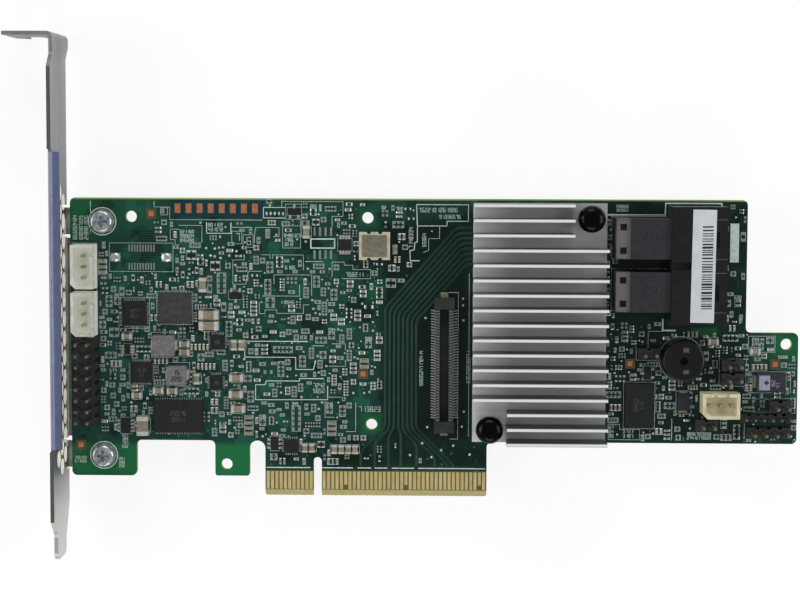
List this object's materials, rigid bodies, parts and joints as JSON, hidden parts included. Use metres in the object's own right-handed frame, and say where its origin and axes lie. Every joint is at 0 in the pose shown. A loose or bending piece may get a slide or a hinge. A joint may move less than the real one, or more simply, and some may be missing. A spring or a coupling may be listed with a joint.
{
  "type": "raid controller card",
  "caption": "Storage controller card with a folded metal bracket, a finned heat sink, two right-angle cable ports and an edge connector.",
  "frame": {"origin": "centre of the edge connector's key, at the contacts' lower edge, on the board's component face", "axes": "+X along the card away from the bracket, +Y from the contacts towards the board's top edge, +Z out of the component side"},
  "size_m": [0.1805, 0.12, 0.0215],
  "materials": {
    "solder_mask_board": "dark green solder mask over glass-epoxy laminate, satin",
    "gold_contacts": "hard gold plating",
    "bare_copper": "bare copper under clear coat",
    "zinc_plated_steel": "zinc-plated sheet steel",
    "screw_steel": "nickel-plated steel",
    "extruded_aluminium": "extruded and milled, clear",
    "black_nylon": "moulded nylon, slightly glossy",
    "spring_steel": "spring wire",
    "thermal_pad_pink": "soft silicone pad",
    "package_laminate": "chip substrate",
    "lid_nickel": "nickel-plated lid",
    "port_plastic_black": "glass-filled moulding",
    "port_plastic_grey": "glass-filled moulding, charcoal",
    "label_paper": "coated paper label",
    "natural_nylon": "natural nylon moulding",
    "aged_cream_nylon": "cream nylon moulding",
    "tinned_brass": "tin or gold plated pin",
    "header_plastic": "black moulding",
    "solder": "tin solder",
    "connector_plastic_dark": "dark grey liquid-crystal polymer",
    "buzzer_plastic": "black moulding",
    "ceramic_cream": "cream ceramic base",
    "lid_kovar": "plated metal lid",
    "epoxy_black": "moulded epoxy",
    "ferrite_grey": "pressed iron powder, grey",
    "tinned_copper": "tinned copper",
    "ceramic_tan": "fired ceramic"
  },
  "bodies": {
    "root": {"board": "solder_mask_board", "edge_contacts_front": "gold_contacts", "edge_contacts_back": "gold_contacts", "bare_pads": "bare_copper", "bracket": "zinc_plated_steel", "bracket_screws": "screw_steel", "heat_sink": "extruded_aluminium", "push_pins": "black_nylon", "push_pin_springs": "spring_steel", "thermal_pad": "thermal_pad_pink", "controller_substrate": "package_laminate", "controller_lid": "lid_nickel", "port_shroud": "port_plastic_black", "port_housing_1": "port_plastic_grey", "port_housing_2": "port_plastic_grey", "port_contacts": "gold_contacts", "port_label": "label_paper", "led_header_shells": "natural_nylon", "fan_header_shell": "aged_cream_nylon", "shrouded_header_pins": "tinned_brass", "tall_header_base": "header_plastic", "tall_header_pins": "tinned_brass", "small_header_bases": "header_plastic", "small_header_pins": "tinned_brass", "solder_joints": "solder", "cache_connector": "connector_plastic_dark", "cache_connector_contacts": "gold_contacts", "cache_connector_nails": "tinned_copper", "buzzer": "buzzer_plastic", "buzzer_pins": "tinned_brass", "oscillator_base": "ceramic_cream", "oscillator_cover": "lid_kovar", "flash_memory": "epoxy_black", "buffer_memory": "epoxy_black", "power_manager": "epoxy_black", "regulator_chips": "epoxy_black", "small_chip_bodies": "epoxy_black", "small_chip_leads": "tinned_copper", "inductors": "ferrite_grey", "inductor_terminals": "tinned_copper", "ceramic_capacitors": "ceramic_tan", "ceramic_capacitor_ends": "tinned_copper", "moulded_bodies": "epoxy_black", "moulded_terminals": "tinned_copper"}
  },
  "joints": []
}
